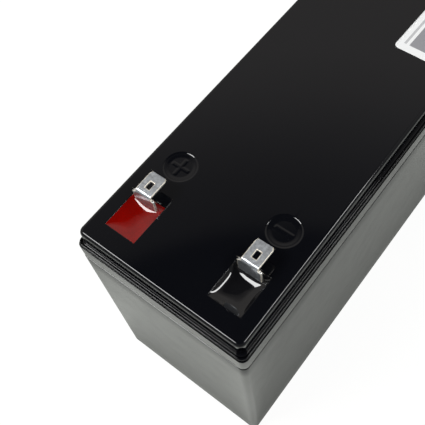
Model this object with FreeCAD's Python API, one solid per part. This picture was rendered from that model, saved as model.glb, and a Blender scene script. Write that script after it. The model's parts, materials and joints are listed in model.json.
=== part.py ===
import FreeCAD
import Part
import math
import os

from FreeCAD import Vector

# Sealed lithium iron phosphate battery, 12.8 V and about 7 Ah, in a moulded case.
# Frame: origin at the centre of the underside, +Z up, +Y along the length,
# terminals at the -Y end, positive at -X and negative at +X. All sizes in mm.

# Case: a tapered tub with a thicker collar and a rebate for the lid
case_width = 65.0
case_length = 151.0
lid_top_z = 93.5
rim_drop = 6.6                # lid top down to the rim of the case
collar_height = 7.7
collar_step = 0.25            # how far the collar stands out from the wall below
wall_lean = 0.65              # inward lean of a wall from the collar to the base
case_corner_radius = 2.2
base_edge_chamfer = 0.8
case_wall = 2.4
cavity_corner_radius = 1.0
floor_thickness = 2.4
rim_wall = 1.2
rebate_depth = 6.0            # rim down to the shelf that the lid stands on
rim_edge_radius = 0.4
joint_bevel = 0.25            # bevels that make the fine groove round the lid

# Lid: a stepped cap with two terminal pockets and two round marks
lid_gap = 0.05
lid_ledge = 0.55
lid_lean = 0.15
lid_wall = 2.0
lid_plate = 2.2
lid_edge_radius = 0.6
lid_corner_radius = 2.4

# Terminal pockets in the lid
pocket_side = 7.05            # case side to the outer edge of a pocket
pocket_width = 11.5
pocket_length = 14.5
pocket_front = 8.6            # case end to the near edge of a pocket
pocket_depth = 4.2
pocket_wall = 1.5
slot_clearance = 0.1

# Moulded polarity marks
mark_offset = 28.8            # near edge of a pocket to the centre of its mark
mark_radius = 5.8
mark_depth = 0.35
mark_edge_radius = 0.2
bar_length = 6.4
bar_width = 1.1
bar_height = 0.25

# Terminals: stamped tabs bent over to lie level above the lid
tab_thickness = 0.8
tab_bend_radius = 0.5
blade_width = 6.1
blade_reach = 8.4             # front face of the upright part to the tip
blade_rise = 6.2              # lid top to the top of the blade
blade_corner_radius = 1.3
blade_edge_bevel = 0.12
hole_width = 1.7
hole_length = 2.6
hole_centre = 3.75            # front face of the upright part to the hole
shoulder_width = 8.4
shoulder_radius = 0.5
tab_inset = 11.9              # near edge of the pocket to the front face of the tab
shank_width = 4.0
shank_reach = 8.0             # below the floor of the pocket

# Potting in the pockets
potting_dip = 0.8             # how far the surface sinks in the middle
potting_edge_drop = 0.05      # corners of the surface below the lid top

# Label on the lid
label_width = 16.0
label_length = 30.0
label_thickness = 0.15
label_side = 7.7              # case side to the side of the label
label_end = 7.1               # case end to the end of the label
label_turn = -1.5             # degrees about the label's inner front corner
label_corner_radius = 0.8

# Cells: eight cans in two rows of four, two in parallel and four in series
cell_gap = 1.4                # between neighbouring cells
cell_rows = 2
cell_columns = 4
cell_base_bevel = 0.8
cell_bead_drop = 4.0          # top of the can down to the rolled groove
cell_bead_depth = 0.8
cell_bead_height = 1.2
cell_cap_gap = 2.4            # rolled edge of the can to the cap
cell_cap_rise = 0.4
cell_crimp_width = 1.4

# Cell holders
holder_depth = 7.5
holder_lip = 1.5
holder_bore_gap = 0.15
holder_ledge = 2.7            # how far the lip covers the end of a cell
holder_star_radius = 3.6
holder_corner_radius = 3.0
channel_gap = 0.4

# Nickel links
link_thickness = 0.3
link_width = 10.0
link_overhang = 6.0           # past the centre of the last cell
link_cross_width = 8.0
link_lug_margin = 1.1         # lug beyond the axis of the wire on it
weld_slit_length = 6.0
weld_slit_width = 0.8
ear_width = 6.0
ear_front_inset = 1.3         # side of the first cell to the front ear
ear_rear_inset = 1.5          # side of the last cell to the rear ear
ear_margin = 0.9              # ear beyond the edge of the lead on it

# Foam and sheets
base_pad_thickness = 1.3
front_pad_thickness = 3.0
side_pad_thickness = 1.6      # at the foot of the leaning wall
pad_drop = 0.2                # top of the lower pads below the top of the upper holder
rear_block_drop = 1.9         # top of the rear block below the shelf
top_pad_width = 9.0
top_pad_length = 11.0
top_pad_wire_gap = 3.7
top_pad_inset = 0.3           # rear edge of the sheet to a top pad
sheet_thickness = 0.5
sheet_margin = 0.5
sheet_wire_gap = 1.8
tape_thickness = 1.0
tape_margin = 2.0

# Protection board
board_thickness = 1.6
board_setback = 14.0          # front face of the tabs to the front edge of the board
board_pad_gap = 2.9           # rear edge of the board to the top pads
room_over_board = 16.0        # top of the board up to the inside of the lid
board_corner_radius = 1.0

# Parts on the board, placed from its left side and from its front or rear edge
switch_width = 6.6
switch_body_length = 6.1
switch_height = 2.3
switch_tab_length = 1.1
switch_tab_width = 5.3
switch_tab_height = 0.5
switch_lead_length = 2.6
switch_lead_width = 0.8
switch_lead_spacing = 4.6
switch_pitch_x = 7.4
switch_pitch_y = 10.8
switch_columns = 2
switch_rows = 3
switch_first_x = 4.5
switch_first_y = 7.0
shunt_width = 6.4
shunt_length = 3.2
shunt_height = 0.7
shunt_count = 2
shunt_pitch = 4.5
shunt_x = 8.2
shunt_first_y = 35.5
bleed_width = 1.6
bleed_length = 3.2
bleed_height = 0.6
bleed_count = 4
bleed_pitch = 2.2
bleed_first_x = 25.0
bleed_rear = 7.0
chip_width = 4.4
chip_length = 6.5
chip_height = 1.1
chip_pin_reach = 1.0
chip_pin_width = 0.3
chip_pin_height = 0.6
chip_pin_pitch = 0.65
chip_pins_a_side = 8
chip_x = 21.5
chip_rear = 15.0

# Balance connector
plug_pins = 5
plug_pitch = 2.5
plug_end_margin = 1.3
plug_height = 3.8
plug_reach = 11.0
socket_wall = 1.1
socket_depth = 6.0
socket_back = 2.0
socket_gap = 0.1

# Wires
lead_radius = 1.3
lead_bend = 5.0
lead_end_run = 1.2            # straight end of a lead beyond its bend
lead_lug_margin = 1.4         # lead clear of the lower end of a shank
lead_ear_rise = 5.0           # top of the cells up to the axis of the positive lead
lead_step = 4.0               # level run at each end of the positive lead
board_lead_inset = 3.0        # front edge of the board to the negative lead
pack_lead_board_inset = 4.0   # rear edge of the board to the pack lead
wire_radius = 0.6
wire_bend = 4.0
wire_lane_gap = 1.8
wire_lane_inset = 1.2         # side of the holders to the outermost lane
outer_lane = 2
wire_board_gap = 0.2          # side of the board to the nearest wire
wire_end_run = 0.8            # straight end of a wire between the plug and its bend
wire_hole_gap = 0.4

# Smallest length that counts as a length
tolerance = 1e-6

# Heights that several pieces share
rim_z = lid_top_z - rim_drop
collar_z = rim_z - collar_height
shelf_z = rim_z - rebate_depth
lid_inner_z = lid_top_z - lid_plate
pocket_floor_z = lid_top_z - pocket_depth
board_top_z = lid_inner_z - room_over_board
board_base_z = board_top_z - board_thickness
sheet_top_z = board_base_z - tape_thickness
lip_top_z = sheet_top_z - sheet_thickness
cell_top_z = lip_top_z - holder_lip
cell_base_z = floor_thickness + base_pad_thickness + holder_lip
cell_height = cell_top_z - cell_base_z
pad_top_z = lip_top_z - pad_drop
shank_base_z = pocket_floor_z - pocket_wall - shank_reach
lead_lug_z = shank_base_z + lead_radius + lead_lug_margin
positive_lead_z = cell_top_z + lead_ear_rise
pack_lead_z = board_top_z + lead_bend + lead_end_run
blade_top_z = lid_top_z + blade_rise

# Half sizes of the case and the lid
half_width = case_width / 2
half_length = case_length / 2
flange_inset = rim_wall + lid_gap
root_inset = flange_inset + lid_ledge
plateau_inset = root_inset + lid_lean
lid_inner_inset = plateau_inset + lid_wall

# Places along the length
pocket_y0 = -half_length + pocket_front
pocket_y1 = pocket_y0 + pocket_length
pocket_x = half_width - pocket_side - pocket_width / 2
tab_front_y = pocket_y0 + tab_inset
mark_y = pocket_y0 + mark_offset
cavity_half_length = half_length - collar_step - case_wall
pack_half_width = half_width - collar_step - wall_lean - case_wall - side_pad_thickness
cell_pitch = 2 * pack_half_width / cell_rows
cell_radius = (cell_pitch - cell_gap) / 2
pack_front_y = -cavity_half_length + wall_lean + front_pad_thickness
pack_rear_y = pack_front_y + cell_columns * cell_pitch
wire_z = board_top_z + socket_wall + plug_height / 2
plug_half_length = (plug_pins - 1) * plug_pitch / 2 + plug_end_margin
first_lane_x = pack_half_width - wire_lane_inset - outer_lane * wire_lane_gap
board_half_width = first_lane_x - wire_radius - wire_board_gap
label_corner_x = half_width - label_side - label_width
label_corner_y = half_length - label_end - label_length
plug_face_x = first_lane_x - wire_bend - wire_end_run
plug_back_x = plug_face_x - plug_reach


def column_y(column):
    return pack_front_y + (column + 0.5) * cell_pitch


def row_x(row):
    return (row + 0.5) * cell_pitch - pack_half_width


def seam_y(column):
    """Line between a column of cells and the one before it."""
    return pack_front_y + column * cell_pitch


def lane_x(step):
    """Line along which a balance wire runs outside the board."""
    return first_lane_x + step * wire_lane_gap


def slab(x0, x1, y0, y1, z0, z1):
    return Part.makeBox(x1 - x0, y1 - y0, z1 - z0, Vector(x0, y0, z0))


def rounded_wire(half_x, half_y, radius, z, x=0.0, y=0.0):
    """Rectangle with round corners, centred on x, y at height z."""
    diagonal = radius * math.sqrt(0.5)
    edges = []
    corners = ((1, -1), (1, 1), (-1, 1), (-1, -1))
    starts = []
    for sx, sy in corners:
        cx = x + sx * (half_x - radius)
        cy = y + sy * (half_y - radius)
        along_x = Vector(cx + sx * radius, cy, z)
        along_y = Vector(cx, cy + sy * radius, z)
        middle = Vector(cx + sx * diagonal, cy + sy * diagonal, z)
        first, last = (along_y, along_x) if sx * sy < 0 else (along_x, along_y)
        starts.append((first, middle, last))
    for index, (first, middle, last) in enumerate(starts):
        following = starts[(index + 1) % len(starts)][0]
        edges.append(Part.Arc(first, middle, last).toShape())
        edges.append(Part.LineSegment(last, following).toShape())
    return Part.Wire(edges)


def rounded_prism(half_x, half_y, radius, z0, z1, x=0.0, y=0.0):
    wire = rounded_wire(half_x, half_y, radius, z0, x, y)
    return Part.Face(wire).extrude(Vector(0, 0, z1 - z0))


def case_prism(inset, radius, z0, z1):
    return rounded_prism(half_width - inset, half_length - inset, radius, z0, z1)


def case_taper(low_inset, high_inset, radius, z0, z1):
    """Tapered block between two outlines set in from the case's outer size."""
    low = rounded_wire(half_width - low_inset, half_length - low_inset, radius, z0)
    high = rounded_wire(half_width - high_inset, half_length - high_inset, radius, z1)
    return Part.makeLoft([low, high], True, True)


def edges_at(shape, z, test=None):
    """Edges that lie wholly at height z and pass the test on their middle point."""
    found = []
    for edge in shape.Edges:
        box = edge.BoundBox
        level = abs(box.ZMin - z) < tolerance and abs(box.ZMax - z) < tolerance
        if level and (test is None or test(edge.CenterOfMass)):
            found.append(edge)
    return found


def joined(shapes):
    return shapes[0].fuse(shapes[1:]).removeSplitter()


def cavity_block():
    """Space inside the case up to the shelf, with the lean of the walls."""
    low = collar_step + wall_lean + case_wall
    high = collar_step + case_wall
    return case_taper(low, high, cavity_corner_radius, floor_thickness, shelf_z)


def build_case():
    base_inset = collar_step + wall_lean
    foot = case_taper(base_inset + base_edge_chamfer, base_inset, case_corner_radius,
                      0.0, base_edge_chamfer)
    wall = case_taper(base_inset, collar_step, case_corner_radius,
                      base_edge_chamfer, collar_z)
    collar = case_prism(0.0, case_corner_radius, collar_z, rim_z)
    collar = collar.makeFillet(rim_edge_radius, edges_at(collar, rim_z))
    rebate_radius = lid_corner_radius - lid_ledge
    rebate = case_prism(rim_wall, rebate_radius, shelf_z, rim_z)
    bevel = case_taper(rim_wall, rim_wall - joint_bevel, rebate_radius,
                       rim_z - joint_bevel, rim_z)
    tub = joined([foot, wall, collar])
    return tub.cut([cavity_block(), rebate, bevel]).removeSplitter()


def pocket_box(side, margin, z0, z1):
    centre = side * pocket_x
    reach = pocket_width / 2 + margin
    return slab(centre - reach, centre + reach, pocket_y0 - margin, pocket_y1 + margin, z0, z1)


def polarity_mark(side):
    """Shallow round dish to cut from the lid, and the raised sign inside it."""
    centre = Vector(side * pocket_x, mark_y, lid_top_z - mark_depth)
    dish = Part.makeCylinder(mark_radius, mark_depth, centre)
    rim = Part.makeCone(mark_radius, mark_radius + mark_edge_radius, mark_edge_radius,
                        Vector(centre.x, centre.y, lid_top_z - mark_edge_radius))
    reach = bar_length / 2
    half = bar_width / 2
    z0 = centre.z - mark_depth
    z1 = centre.z + bar_height
    bars = [slab(centre.x - reach, centre.x + reach, mark_y - half, mark_y + half, z0, z1)]
    if side < 0:
        bars.append(slab(centre.x - half, centre.x + half, mark_y - reach, mark_y + reach, z0, z1))
    sign = joined(bars) if len(bars) > 1 else bars[0]
    return [dish, rim], sign


def build_lid():
    flange_radius = lid_corner_radius - lid_ledge
    flange = case_prism(flange_inset, flange_radius, shelf_z, rim_z)
    flange = flange.makeChamfer(joint_bevel, edges_at(flange, rim_z))
    plateau = case_taper(root_inset, plateau_inset, lid_corner_radius, rim_z, lid_top_z)
    plateau = plateau.makeFillet(lid_edge_radius, edges_at(plateau, lid_top_z))
    inside = case_prism(lid_inner_inset, lid_corner_radius, shelf_z, lid_inner_z)
    lid = joined([flange, plateau]).cut(inside)
    cuts = []
    signs = []
    for side in (-1, 1):
        lid = lid.fuse(pocket_box(side, pocket_wall, pocket_floor_z - pocket_wall, lid_inner_z))
        cuts.append(pocket_box(side, 0.0, pocket_floor_z, lid_top_z))
        reach = shank_width / 2 + slot_clearance
        centre = side * pocket_x
        cuts.append(slab(centre - reach, centre + reach, tab_front_y - slot_clearance,
                         tab_front_y + tab_thickness + slot_clearance,
                         pocket_floor_z - pocket_wall, pocket_floor_z))
        dishes, sign = polarity_mark(side)
        cuts += dishes
        signs.append(sign)
    return lid.cut(cuts).fuse(signs).removeSplitter()


def bent_blade(x):
    """Upright strip that turns through a right angle into the level blade."""
    y0 = tab_front_y
    y1 = y0 + tab_thickness
    tip = y0 + blade_reach
    outer = tab_bend_radius + tab_thickness
    inner = tab_bend_radius
    top = blade_top_z
    under = top - tab_thickness
    foot = pocket_floor_z
    centre_y = y0 + outer
    centre_z = top - outer
    diagonal = math.sqrt(0.5)
    x0 = x - blade_width / 2

    def at(y, z):
        return Vector(x0, y, z)

    outer_middle = at(centre_y - outer * diagonal, centre_z + outer * diagonal)
    inner_middle = at(centre_y - inner * diagonal, centre_z + inner * diagonal)
    edges = [
        Part.LineSegment(at(y0, foot), at(y0, centre_z)).toShape(),
        Part.Arc(at(y0, centre_z), outer_middle, at(centre_y, top)).toShape(),
        Part.LineSegment(at(centre_y, top), at(tip, top)).toShape(),
        Part.LineSegment(at(tip, top), at(tip, under)).toShape(),
        Part.LineSegment(at(tip, under), at(centre_y, under)).toShape(),
        Part.Arc(at(centre_y, under), inner_middle, at(y1, centre_z)).toShape(),
        Part.LineSegment(at(y1, centre_z), at(y1, foot)).toShape(),
        Part.LineSegment(at(y1, foot), at(y0, foot)).toShape(),
    ]
    blade = Part.Face(Part.Wire(edges)).extrude(Vector(blade_width, 0, 0))
    corners = [edge for edge in blade.Edges
               if abs(edge.BoundBox.YMin - tip) < tolerance
               and edge.BoundBox.ZLength > edge.BoundBox.XLength]
    blade = blade.makeFillet(blade_corner_radius, corners)
    rims = edges_at(blade, top, lambda p: p.y > tip - blade_corner_radius)
    return blade.makeChamfer(blade_edge_bevel, rims)


def build_terminal(side):
    x = side * pocket_x
    y0 = tab_front_y
    y1 = y0 + tab_thickness
    shoulder_z = blade_top_z - tab_bend_radius - tab_thickness
    reach = shoulder_width / 2
    body = slab(x - reach, x + reach, y0, y1, pocket_floor_z, shoulder_z)
    tops = [edge for edge in edges_at(body, shoulder_z) if edge.BoundBox.YLength > tab_thickness / 2]
    body = body.makeFillet(shoulder_radius, tops)
    half = shank_width / 2
    shank = slab(x - half, x + half, y0, y1, shank_base_z, pocket_floor_z)
    hole_y = y0 + hole_centre
    hole = slab(x - hole_width / 2, x + hole_width / 2, hole_y - hole_length / 2,
                hole_y + hole_length / 2, blade_top_z - tab_thickness, blade_top_z)
    return joined([bent_blade(x), body, shank]).cut(hole)


def build_potting(side, terminal):
    """Pocket filling with a surface that sinks like a dish between its corners."""
    fill = pocket_box(side, 0.0, pocket_floor_z, lid_top_z)
    corner_reach = math.hypot(pocket_width, pocket_length) / 2
    radius = (corner_reach ** 2 + potting_dip ** 2) / (2 * potting_dip)
    low = lid_top_z - potting_edge_drop - potting_dip
    centre = Vector(side * pocket_x, (pocket_y0 + pocket_y1) / 2, low + radius)
    return fill.cut([Part.makeSphere(radius, centre), terminal])


def build_label():
    half_x = label_width / 2
    half_y = label_length / 2
    label = rounded_prism(half_x, half_y, label_corner_radius, lid_top_z,
                          lid_top_z + label_thickness,
                          label_corner_x + half_x, label_corner_y + half_y)
    label.rotate(Vector(label_corner_x, label_corner_y, 0), Vector(0, 0, 1), label_turn)
    return label


def build_cell(x, y, positive_up):
    """Rolled can turned about its axis, with the cap at the positive end."""
    top = cell_height - cell_cap_rise
    bead = top - cell_bead_drop
    inner = cell_radius - cell_bead_depth
    crimp = inner - cell_crimp_width
    cap = crimp - cell_cap_gap
    profile = [
        (0, 0), (cell_radius - cell_base_bevel, 0), (cell_radius, cell_base_bevel),
        (cell_radius, bead - cell_bead_height), (inner, bead - cell_bead_height / 2),
        (cell_radius, bead), (cell_radius, top - cell_bead_depth), (inner, top),
        (crimp, top), (crimp, top - cell_cap_rise), (cap, top - cell_cap_rise),
        (cap, cell_height), (0, cell_height),
    ]
    points = [Vector(r, 0, z) for r, z in profile]
    face = Part.Face(Part.makePolygon(points + points[:1]))
    cell = face.revolve(Vector(0, 0, 0), Vector(0, 0, 1), 360)
    if not positive_up:
        cell.rotate(Vector(0, 0, cell_height / 2), Vector(1, 0, 0), 180)
    cell.translate(Vector(x, y, cell_base_z))
    return cell


def pair_link_boxes(column, lug_x, gap, z0, z1):
    """Two bars along the length joined by a cross bar that ends in a wire lug."""
    half = link_width / 2 + gap
    boxes = []
    for row in range(cell_rows):
        x = row_x(row)
        boxes.append(slab(x - half, x + half, column_y(column) - link_overhang - gap,
                          column_y(column + 1) + link_overhang + gap, z0, z1))
    middle = seam_y(column + 1)
    cross = link_cross_width / 2 + gap
    boxes.append(slab(row_x(0), lug_x + link_lug_margin + gap, middle - cross, middle + cross, z0, z1))
    return boxes


def end_link_boxes(column, lug_x, ear_x, ear_y, gap, z0, z1):
    """One bar across a column of cells, with a wire lug and an arm to the ear."""
    half = link_width / 2 + gap
    y = column_y(column)
    bar = slab(row_x(0) - link_overhang - gap, lug_x + link_lug_margin + gap,
               y - half, y + half, z0, z1)
    near, far = min(y, ear_y), max(y, ear_y)
    arm_half = ear_width / 2 + gap
    arm = slab(ear_x - arm_half, ear_x + arm_half, near - gap, far + gap, z0, z1)
    return [bar, arm]


def weld_slits(columns, z0, z1):
    slits = []
    for column in columns:
        for row in range(cell_rows):
            x = row_x(row)
            y = column_y(column)
            slits.append(slab(x - weld_slit_width / 2, x + weld_slit_width / 2,
                              y - weld_slit_length / 2, y + weld_slit_length / 2, z0, z1))
    return slits


last_column = cell_columns - 1
front_ear_y = column_y(0) - cell_radius + ear_front_inset
rear_ear_y = column_y(last_column) + cell_radius - ear_rear_inset
sheet_rear_y = rear_ear_y - link_thickness - sheet_margin
top_pad_rear_y = sheet_rear_y - top_pad_inset
top_pad_x = first_lane_x - wire_radius - top_pad_wire_gap - top_pad_width / 2
board_front_y = tab_front_y + board_setback
board_rear_y = top_pad_rear_y - top_pad_length - board_pad_gap
board_length = board_rear_y - board_front_y
plug_y = seam_y(cell_columns / 2)
top_links = ("link_positive", "link_middle", "link_negative")
bottom_links = ("link_front", "link_rear")


def link_boxes(name, gap, z0, z1):
    """Flat boxes of one link, widened by the gap, with the columns it joins."""
    if name == "link_positive":
        return end_link_boxes(0, lane_x(0), -pocket_x, front_ear_y, gap, z0, z1), [0]
    if name == "link_negative":
        boxes = end_link_boxes(last_column, lane_x(0), 0.0, rear_ear_y, gap, z0, z1)
        return boxes, [last_column]
    column = ("link_front", "link_middle", "link_rear").index(name)
    step = 1 if name in bottom_links else outer_lane
    return pair_link_boxes(column, lane_x(step), gap, z0, z1), [column, column + 1]


def build_link(name):
    z0 = cell_top_z if name in top_links else cell_base_z - link_thickness
    z1 = z0 + link_thickness
    shapes, columns = link_boxes(name, 0.0, z0, z1)
    half = ear_width / 2
    if name == "link_positive":
        shapes.append(slab(-pocket_x - half, -pocket_x + half, front_ear_y,
                           front_ear_y + link_thickness, z0, positive_lead_z + lead_radius + ear_margin))
    if name == "link_negative":
        shapes.append(slab(-half, half, rear_ear_y - link_thickness, rear_ear_y,
                           z0, pack_lead_z + lead_radius + ear_margin))
    return joined(shapes).cut(weld_slits(columns, z0, z1)).removeSplitter()


def wire_drops():
    """Balance wires from the positive end to the negative end: lane, place, end height."""
    upper = cell_top_z + link_thickness
    return [
        (lane_x(0), column_y(0), upper),
        (lane_x(1), seam_y(1), cell_base_z),
        (lane_x(outer_lane), plug_y, upper),
        (lane_x(1), seam_y(last_column), cell_base_z),
        (lane_x(0), column_y(last_column), upper),
    ]


def build_holder(upper):
    """Tray of bores for the cell ends, with a lip cut through for the links."""
    bore_z0 = cell_top_z - holder_depth if upper else cell_base_z
    bore_z1 = bore_z0 + holder_depth
    lip_z0 = bore_z1 if upper else cell_base_z - holder_lip
    lip_z1 = lip_z0 + holder_lip
    z0 = min(bore_z0, lip_z0)
    z1 = max(bore_z1, lip_z1)
    middle = (pack_front_y + pack_rear_y) / 2
    tray = rounded_prism(pack_half_width, (pack_rear_y - pack_front_y) / 2,
                         holder_corner_radius, z0, z1, 0.0, middle)
    cuts = []
    for column in range(cell_columns):
        for row in range(cell_rows):
            x = row_x(row)
            y = column_y(column)
            cuts.append(Part.makeCylinder(cell_radius + holder_bore_gap, holder_depth,
                                          Vector(x, y, bore_z0)))
            cuts.append(Part.makeCylinder(cell_radius - holder_ledge, holder_lip, Vector(x, y, lip_z0)))
    for column in range(1, cell_columns):
        cuts.append(Part.makeCylinder(holder_star_radius, z1 - z0, Vector(0, seam_y(column), z0)))
    for name in (top_links if upper else bottom_links):
        cuts += link_boxes(name, channel_gap, lip_z0, lip_z1)[0]
    for x, y, end_z in wire_drops():
        if end_z < cell_top_z:
            cuts.append(Part.makeCylinder(wire_radius + wire_hole_gap, z1 - z0, Vector(x, y, z0)))
    return tray.cut(cuts).removeSplitter()


def build_foam():
    """Foam that packs the cells into the case, shaped to the leaning walls."""
    cavity = cavity_block()
    wide = case_width
    blocks = {
        "base_pad": slab(-pack_half_width, pack_half_width, pack_front_y, pack_rear_y,
                         floor_thickness, floor_thickness + base_pad_thickness),
        "side_pad_left": slab(-wide, -pack_half_width, pack_front_y, pack_rear_y,
                              floor_thickness, pad_top_z),
        "side_pad_right": slab(pack_half_width, wide, pack_front_y, pack_rear_y,
                               floor_thickness, pad_top_z),
        "front_pad": slab(-wide, wide, -case_length, pack_front_y, floor_thickness, pad_top_z),
        "rear_block": slab(-wide, wide, pack_rear_y, case_length,
                           floor_thickness, shelf_z - rear_block_drop),
    }
    foam = {name: cavity.common(block) for name, block in blocks.items()}
    half = top_pad_width / 2
    for name, side in (("top_pad_left", -1), ("top_pad_right", 1)):
        x = side * top_pad_x
        foam[name] = slab(x - half, x + half, top_pad_rear_y - top_pad_length, top_pad_rear_y,
                          sheet_top_z, lid_inner_z)
    return foam


def build_sheet():
    front = front_ear_y + link_thickness + sheet_margin
    half = lane_x(0) - wire_radius - sheet_wire_gap
    return slab(-half, half, front, sheet_rear_y, lip_top_z, sheet_top_z)


def build_tape():
    half = board_half_width - tape_margin
    return slab(-half, half, board_front_y + tape_margin, board_rear_y - tape_margin,
                sheet_top_z, board_base_z)


def build_board():
    middle = (board_front_y + board_rear_y) / 2
    return rounded_prism(board_half_width, board_length / 2, board_corner_radius,
                         board_base_z, board_top_z, 0.0, middle)


def on_board(x, y):
    """Place on the board, counted from its front left corner."""
    return x - board_half_width, board_front_y + y


def build_switch(x, y):
    """Power transistor: body with a heat tab behind and two leads in front."""
    z = board_top_z
    half = switch_width / 2
    reach = switch_body_length / 2
    body = slab(x - half, x + half, y - reach, y + reach, z, z + switch_height)
    body = body.makeChamfer(switch_tab_height, edges_at(body, z + switch_height))
    tab = slab(x - switch_tab_width / 2, x + switch_tab_width / 2, y + reach,
               y + reach + switch_tab_length, z, z + switch_tab_height)
    pieces = [body, tab]
    for side in (-1, 1):
        lead_x = x + side * switch_lead_spacing / 2
        pieces.append(slab(lead_x - switch_lead_width / 2, lead_x + switch_lead_width / 2,
                           y - reach - switch_lead_length, y - reach, z, z + switch_tab_height))
    return joined(pieces)


def chip_resistor(x, y, width, length, height):
    return slab(x - width / 2, x + width / 2, y - length / 2, y + length / 2,
                board_top_z, board_top_z + height)


def build_chip():
    """Controller in a flat package with a row of pins along each long side."""
    x, middle = on_board(chip_x, board_length - chip_rear)
    half = chip_width / 2
    body = slab(x - half, x + half, middle - chip_length / 2, middle + chip_length / 2,
                board_top_z, board_top_z + chip_height)
    pieces = [body]
    reach = half + chip_pin_reach
    for index in range(chip_pins_a_side):
        y = middle + (index - (chip_pins_a_side - 1) / 2) * chip_pin_pitch
        pieces.append(slab(x - reach, x + reach, y - chip_pin_width / 2,
                           y + chip_pin_width / 2, board_top_z, board_top_z + chip_pin_height))
    return joined(pieces)


def build_socket():
    """Side-entry socket: a shroud open towards the plug, closed behind it."""
    reach = plug_half_length + socket_gap + socket_wall
    top = wire_z + plug_height / 2 + socket_gap + socket_wall
    mouth_x = plug_back_x + socket_depth
    shroud = slab(plug_back_x - socket_back, mouth_x, plug_y - reach, plug_y + reach, board_top_z, top)
    inner = plug_half_length + socket_gap
    mouth = slab(plug_back_x, mouth_x, plug_y - inner, plug_y + inner,
                 wire_z - plug_height / 2, wire_z + plug_height / 2 + socket_gap)
    return shroud.cut(mouth)


def build_plug():
    return slab(plug_back_x, plug_face_x, plug_y - plug_half_length, plug_y + plug_half_length,
                wire_z - plug_height / 2, wire_z + plug_height / 2)


def straight_run(start, end):
    """Edge between two points, or nothing where one arc meets the next."""
    if start.distanceToPoint(end) < tolerance:
        return []
    return [Part.LineSegment(start, end).toShape()]


def bent_path(points, bend):
    """Straight runs through the points, joined by tangent arcs of one radius."""
    edges = []
    start = points[0]
    for before, corner, after in zip(points, points[1:], points[2:]):
        arriving = (corner - before).normalize()
        leaving = (after - corner).normalize()
        turn = arriving.getAngle(leaving)
        trim = bend * math.tan(turn / 2)
        arc_start = corner - arriving * trim
        arc_end = corner + leaving * trim
        inward = (leaving - arriving).normalize()
        arc_middle = corner + inward * (bend / math.cos(turn / 2) - bend)
        edges += straight_run(start, arc_start)
        edges.append(Part.Arc(arc_start, arc_middle, arc_end).toShape())
        start = arc_end
    edges += straight_run(start, points[-1])
    return Part.Wire(edges)


def build_wire(name, points, radius, bend):
    """Round wire along a bent path, with its volume compared with section times length."""
    path = bent_path(points, bend)
    direction = points[1] - points[0]
    section = Part.Wire(Part.makeCircle(radius, points[0], direction))
    tube = path.makePipeShell([section], True, True)
    expected = math.pi * radius ** 2 * path.Length
    print(f"{name}: length {path.Length:.1f}, bend {bend:.1f}, "
          f"volume {tube.Volume / expected:.4f} of section times length")
    return tube


def build_leads():
    """Three heavy leads: link to terminal, terminal to board, board to pack."""
    ear_face = front_ear_y + link_thickness
    positive = [
        Vector(-pocket_x, ear_face, positive_lead_z),
        Vector(-pocket_x, ear_face + lead_step, positive_lead_z),
        Vector(-pocket_x, tab_front_y - lead_step, lead_lug_z),
        Vector(-pocket_x, tab_front_y, lead_lug_z),
    ]
    lead_y = board_front_y + board_lead_inset
    negative = [
        Vector(pocket_x, tab_front_y + tab_thickness, lead_lug_z),
        Vector(pocket_x, lead_y, lead_lug_z),
        Vector(pocket_x, lead_y, board_top_z),
    ]
    pack_y = board_rear_y - pack_lead_board_inset
    pack = [
        Vector(0, rear_ear_y - link_thickness, pack_lead_z),
        Vector(0, pack_y, pack_lead_z),
        Vector(0, pack_y, board_top_z),
    ]
    routes = {"lead_positive": positive, "lead_negative": negative, "lead_pack": pack}
    return {name: build_wire(name, route, lead_radius, lead_bend) for name, route in routes.items()}


def build_balance_wires():
    """Five thin wires from the plug, each down to the lug of its own link."""
    wires = {}
    for index, (x, y, end_z) in enumerate(wire_drops()):
        pin_y = plug_y + (index - (plug_pins - 1) / 2) * plug_pitch
        route = [Vector(plug_face_x, pin_y, wire_z), Vector(x, pin_y, wire_z)]
        if abs(y - pin_y) > wire_radius:
            route.append(Vector(x, y, wire_z))
        route.append(Vector(x, y, end_z))
        name = f"balance_wire_{index + 1}"
        wires[name] = build_wire(name, route, wire_radius, wire_bend)
    return wires


def build_parts():
    parts = {"case": build_case(), "lid": build_lid(), "label": build_label()}
    for name, side in (("positive", -1), ("negative", 1)):
        terminal = build_terminal(side)
        parts[f"terminal_{name}"] = terminal
        parts[f"potting_{name}"] = build_potting(side, terminal)
    number = 0
    for column in range(cell_columns):
        for row in range(cell_rows):
            number += 1
            parts[f"cell_{number}"] = build_cell(row_x(row), column_y(column), column % 2 == 0)
    parts["holder_lower"] = build_holder(False)
    parts["holder_upper"] = build_holder(True)
    for name in top_links + bottom_links:
        parts[name] = build_link(name)
    parts.update(build_foam())
    parts["insulating_sheet"] = build_sheet()
    parts["board_tape"] = build_tape()
    parts["protection_board"] = build_board()
    number = 0
    for row in range(switch_rows):
        for column in range(switch_columns):
            number += 1
            parts[f"power_switch_{number}"] = build_switch(*on_board(
                switch_first_x + column * switch_pitch_x, switch_first_y + row * switch_pitch_y))
    for index in range(shunt_count):
        place = on_board(shunt_x, shunt_first_y + index * shunt_pitch)
        parts[f"shunt_{index + 1}"] = chip_resistor(*place, shunt_width, shunt_length, shunt_height)
    for index in range(bleed_count):
        place = on_board(bleed_first_x + index * bleed_pitch, board_length - bleed_rear)
        parts[f"bleed_resistor_{index + 1}"] = chip_resistor(*place, bleed_width, bleed_length,
                                                             bleed_height)
    parts["control_chip"] = build_chip()
    parts["balance_socket"] = build_socket()
    parts["balance_plug"] = build_plug()
    parts.update(build_leads())
    parts.update(build_balance_wires())
    return parts


os.makedirs("parts", exist_ok=True)
for part_name, part_shape in build_parts().items():
    part_shape.exportStep(f"parts/{part_name}.step")
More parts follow.
